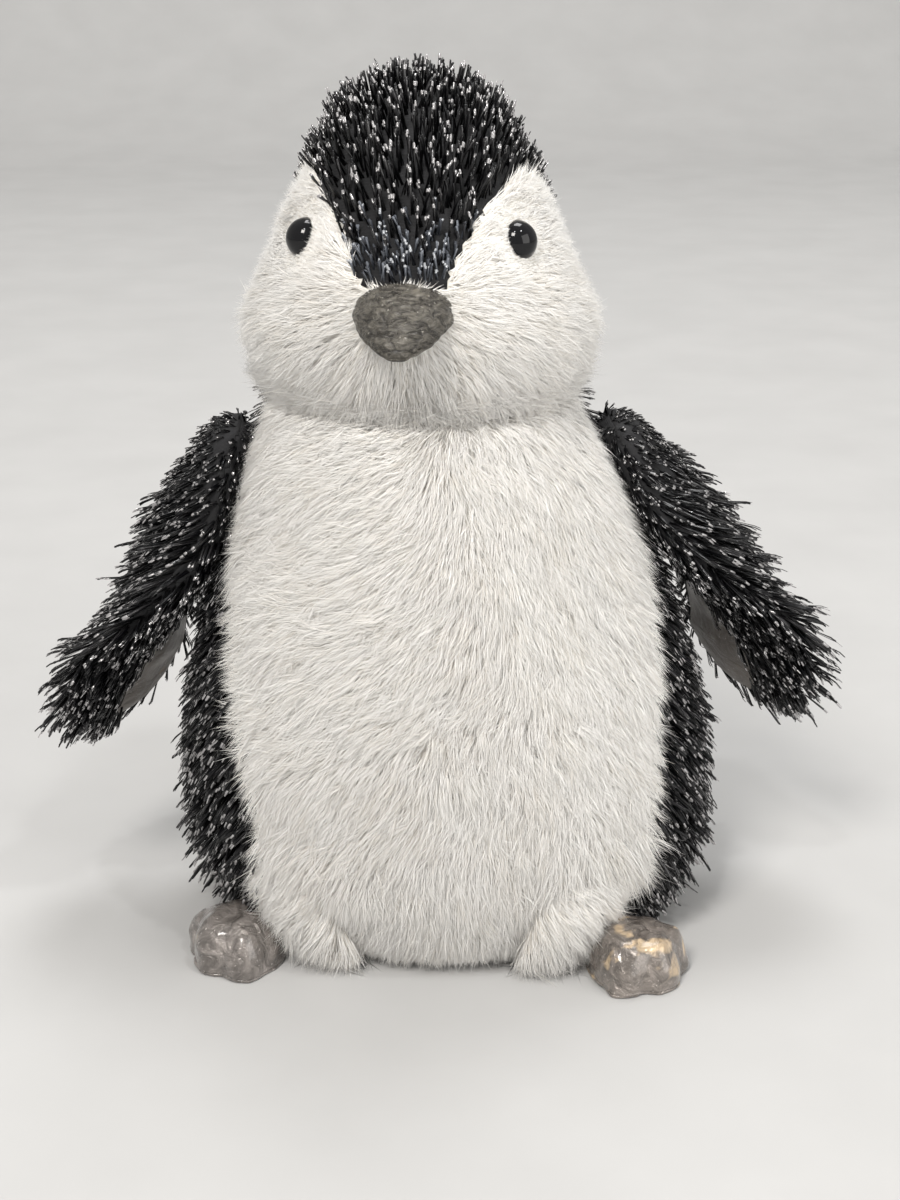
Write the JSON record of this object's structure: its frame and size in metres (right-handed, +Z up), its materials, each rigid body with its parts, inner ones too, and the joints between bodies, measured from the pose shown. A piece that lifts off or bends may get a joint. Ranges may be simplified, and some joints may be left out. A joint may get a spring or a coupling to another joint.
{
  "type": "plush penguin",
  "caption": "Standing plush penguin with a white pile belly and face, shiny black fringed back, cap and flippers, padded beak and feet, and a head and limbs that move.",
  "frame": {"origin": "centre of the flat base panel, on the surface the toy stands on", "axes": "+Z up from the base, -Y the way the toy's body faces, +X towards the toy's own left"},
  "size_m": [0.1856, 0.1217, 0.205],
  "materials": {
    "white_plush": "matte",
    "black_fringe_plush": "satin",
    "base_cloth": "matte",
    "fibre_stuffing": "matte",
    "bag_cloth": "matte",
    "pellets": "satin",
    "thread": "matte",
    "flipper_lining": "satin",
    "beak_fabric": "satin",
    "foot_fabric": "satin",
    "eye_plastic": "gloss",
    "washer_plastic": "satin"
  },
  "bodies": {
    "torso": {"belly_panel": "white_plush", "back_panel_left": "black_fringe_plush", "back_panel_right": "black_fringe_plush", "base_panel": "base_cloth", "body_stuffing": "fibre_stuffing", "pellet_bag_upper": "bag_cloth", "pellet_bag_lower": "bag_cloth", "pellet_fill": "pellets", "closing_stitches": "thread", "left_leg_cover": "white_plush", "left_leg_stuffing": "fibre_stuffing", "right_leg_cover": "white_plush", "right_leg_stuffing": "fibre_stuffing", "tail_upper": "black_fringe_plush", "tail_lining": "flipper_lining", "tail_stuffing": "fibre_stuffing"},
    "neck": {"neck_wad": "fibre_stuffing"},
    "head": {"cheek_left": "white_plush", "cheek_right": "white_plush", "crown_gusset": "black_fringe_plush", "head_back_left": "black_fringe_plush", "head_back_right": "black_fringe_plush", "head_stuffing": "fibre_stuffing", "beak_upper": "beak_fabric", "beak_lower": "beak_fabric", "beak_stuffing": "fibre_stuffing", "left_eye": "eye_plastic", "left_eye_washer": "washer_plastic", "right_eye": "eye_plastic", "right_eye_washer": "washer_plastic"},
    "left_flipper": {"left_flipper_outer": "black_fringe_plush", "left_flipper_lining": "flipper_lining", "left_flipper_stuffing": "fibre_stuffing"},
    "right_flipper": {"right_flipper_outer": "black_fringe_plush", "right_flipper_lining": "flipper_lining", "right_flipper_stuffing": "fibre_stuffing"},
    "left_foot": {"left_foot_upper": "foot_fabric", "left_foot_sole": "foot_fabric", "left_foot_stuffing": "fibre_stuffing"},
    "right_foot": {"right_foot_upper": "foot_fabric", "right_foot_sole": "foot_fabric", "right_foot_stuffing": "fibre_stuffing"}
  },
  "joints": [
    {"name": "head_turn", "type": "hinge", "parent": "torso", "child": "neck", "pos_m": [-0.007, 0, 0.167], "axis": [0, 0, 1], "range_deg": [-22, 38]},
    {"name": "head_nod", "type": "hinge", "parent": "neck", "child": "head", "pos_m": [-0.007, 0, 0.167], "axis": [0.9903, -0.1392, 0], "range_deg": [-12, 12]},
    {"name": "left_flipper_swing", "type": "hinge", "parent": "torso", "child": "left_flipper", "pos_m": [0.04187, 0.002, 0.122], "axis": [0, -1, 0], "range_deg": [-4, 58]},
    {"name": "right_flipper_swing", "type": "hinge", "parent": "torso", "child": "right_flipper", "pos_m": [-0.05313, 0.002, 0.122], "axis": [0, 1, 0], "range_deg": [-4, 62]},
    {"name": "left_foot_tilt", "type": "hinge", "parent": "torso", "child": "left_foot", "pos_m": [0.0337, -0.0328, 0.009], "axis": [-0.788, -0.6157, 0], "range_deg": [0, 20]},
    {"name": "right_foot_tilt", "type": "hinge", "parent": "torso", "child": "right_foot", "pos_m": [-0.0424, -0.0226, 0.009], "axis": [-0.5878, 0.809, 0], "range_deg": [0, 20]}
  ]
}
